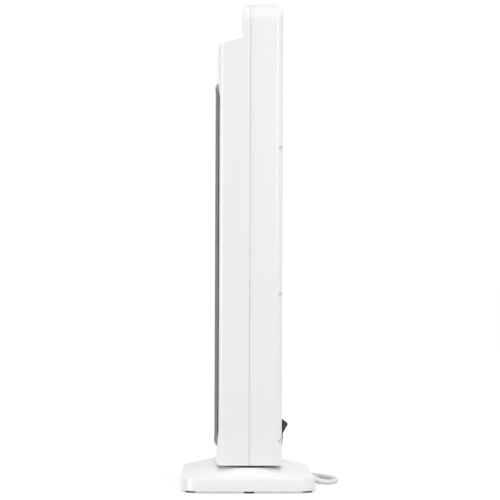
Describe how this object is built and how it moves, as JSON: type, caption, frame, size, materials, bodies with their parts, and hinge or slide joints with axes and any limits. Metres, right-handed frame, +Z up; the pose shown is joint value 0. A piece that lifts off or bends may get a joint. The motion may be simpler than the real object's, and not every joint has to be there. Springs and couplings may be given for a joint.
{
  "type": "ceramic tower heater",
  "caption": "Slim oscillating ceramic fan heater: a tall tower with a mesh front grille, sloped controls and rear rocker switch on a wide hipped base, with a mains lead.",
  "frame": {"origin": "on the ground under the middle of the base, on the axis about which the tower swings", "axes": "+Z up, -Y towards the front grille, +X to the right seen from behind the grille plane looking along +Y"},
  "size_m": [0.3573, 0.212, 0.634],
  "materials": {
    "white_case": "moulded, semi-gloss",
    "base_floor": "moulded, matt",
    "foot_rubber": "soft matt",
    "zinc_steel": "zinc plated",
    "natural_nylon": "moulded nylon",
    "black_nylon": "moulded",
    "red_plastic": "moulded",
    "lead_jacket": "satin PVC jacket",
    "plug_plastic": "moulded PVC",
    "nickel_pin": "nickel plated",
    "tie_plastic": "matt",
    "gloss_black": "high gloss",
    "satin_black": "satin",
    "filter_mesh": "woven mesh in a frame",
    "smoked_window": "smoked, polished",
    "circuit_board": "solder mask",
    "component_blue": "moulded",
    "rotor_alloy": "cast",
    "stator_steel": "varnished laminations",
    "copper_winding": "enamelled wire",
    "sintered_bronze": "sintered",
    "duct_steel": "galvanised sheet",
    "cream_resin": "heat resistant resin",
    "ptc_ceramic": "fired ceramic in insulation",
    "fin_aluminium": "folded strip",
    "cutout_ceramic": "fired",
    "key_plastic": "satin moulded"
  },
  "bodies": {
    "base": {"base_cover": "white_case", "base_plate": "base_floor", "feet": "foot_rubber", "base_weight": "zinc_steel", "base_screws": "zinc_steel", "oscillation_motor": "zinc_steel", "tip_switch": "black_nylon", "swivel_ring": "natural_nylon", "cord_clamp": "base_floor", "inner_lead_base": "lead_jacket", "cord_bushing": "lead_jacket", "cord_run": "lead_jacket", "cord_coil": "lead_jacket", "cord_lead": "lead_jacket", "cord_tie": "tie_plastic", "plug_body": "plug_plastic", "plug_pins": "nickel_pin"},
    "oscillation_pinion": {"oscillation_pinion": "natural_nylon"},
    "tip_plunger": {"tip_plunger": "red_plastic"},
    "tower": {"front_shell": "white_case", "rear_shell": "white_case", "front_grille": "gloss_black", "intake_filter": "filter_mesh", "grip_insert": "satin_black", "turntable": "base_floor", "turntable_screws": "zinc_steel", "swivel_retainer": "zinc_steel", "sector_gear": "natural_nylon", "inner_lead_tower": "lead_jacket", "case_screws": "zinc_steel", "control_panel": "gloss_black", "display_window": "smoked_window", "control_board": "circuit_board", "tact_switches": "black_nylon", "display_module": "black_nylon", "power_board": "circuit_board", "power_components": "component_blue", "rocker_housing": "satin_black", "motor_stator": "stator_steel", "motor_coil": "copper_winding", "motor_bracket": "zinc_steel", "lower_bearing": "sintered_bronze", "air_duct": "duct_steel", "heater_frame": "cream_resin", "ceramic_bars": "ptc_ceramic", "heating_fins": "fin_aluminium", "thermal_cutout": "cutout_ceramic"},
    "rocker": {"rocker": "satin_black"},
    "blower": {"impeller": "black_nylon", "blower_shaft": "zinc_steel", "motor_rotor": "rotor_alloy"},
    "button_1": {"button_1": "key_plastic"},
    "button_2": {"button_2": "key_plastic"},
    "button_3": {"button_3": "key_plastic"},
    "button_4": {"button_4": "key_plastic"},
    "button_5": {"button_5": "key_plastic"},
    "button_6": {"button_6": "key_plastic"}
  },
  "joints": [
    {"name": "tower_swivel", "type": "hinge", "parent": "base", "child": "tower", "pos_m": [0, 0, 0.031], "axis": [0, 0, 1], "range_deg": [-35, 35]},
    {"name": "pinion_spin", "type": "hinge", "parent": "base", "child": "oscillation_pinion", "pos_m": [0.05, 0, 0.0197], "axis": [0, 0, 1], "range_deg": [-141, 141]},
    {"name": "tip_plunger_slide", "type": "slide", "parent": "base", "child": "tip_plunger", "axis": [0, 0, 1], "range_m": [-0.004, 0], "stiffness_N_per_m": 60, "springref_m": -0.006},
    {"name": "rocker_tilt", "type": "hinge", "parent": "tower", "child": "rocker", "pos_m": [0, 0.041, 0.0714], "axis": [1, 0, 0], "range_deg": [0, 32]},
    {"name": "blower_spin", "type": "hinge", "parent": "tower", "child": "blower", "pos_m": [0, 0.008, 0.3], "axis": [0, 0, 1], "continuous": true},
    {"name": "button_1_press", "type": "slide", "parent": "tower", "child": "button_1", "axis": [0, 0.229, -0.9734], "range_m": [0, 0.001], "stiffness_N_per_m": 300, "springref_m": -0.0005},
    {"name": "button_2_press", "type": "slide", "parent": "tower", "child": "button_2", "axis": [0, 0.229, -0.9734], "range_m": [0, 0.001], "stiffness_N_per_m": 300, "springref_m": -0.0005},
    {"name": "button_3_press", "type": "slide", "parent": "tower", "child": "button_3", "axis": [0, 0.229, -0.9734], "range_m": [0, 0.001], "stiffness_N_per_m": 300, "springref_m": -0.0005},
    {"name": "button_4_press", "type": "slide", "parent": "tower", "child": "button_4", "axis": [0, 0.229, -0.9734], "range_m": [0, 0.001], "stiffness_N_per_m": 300, "springref_m": -0.0005},
    {"name": "button_5_press", "type": "slide", "parent": "tower", "child": "button_5", "axis": [0, 0.229, -0.9734], "range_m": [0, 0.001], "stiffness_N_per_m": 300, "springref_m": -0.0005},
    {"name": "button_6_press", "type": "slide", "parent": "tower", "child": "button_6", "axis": [0, 0.229, -0.9734], "range_m": [0, 0.001], "stiffness_N_per_m": 300, "springref_m": -0.0005}
  ],
  "couplings": [
    {"joint": "pinion_spin", "follows": "tower_swivel", "ratio": -4}
  ]
}
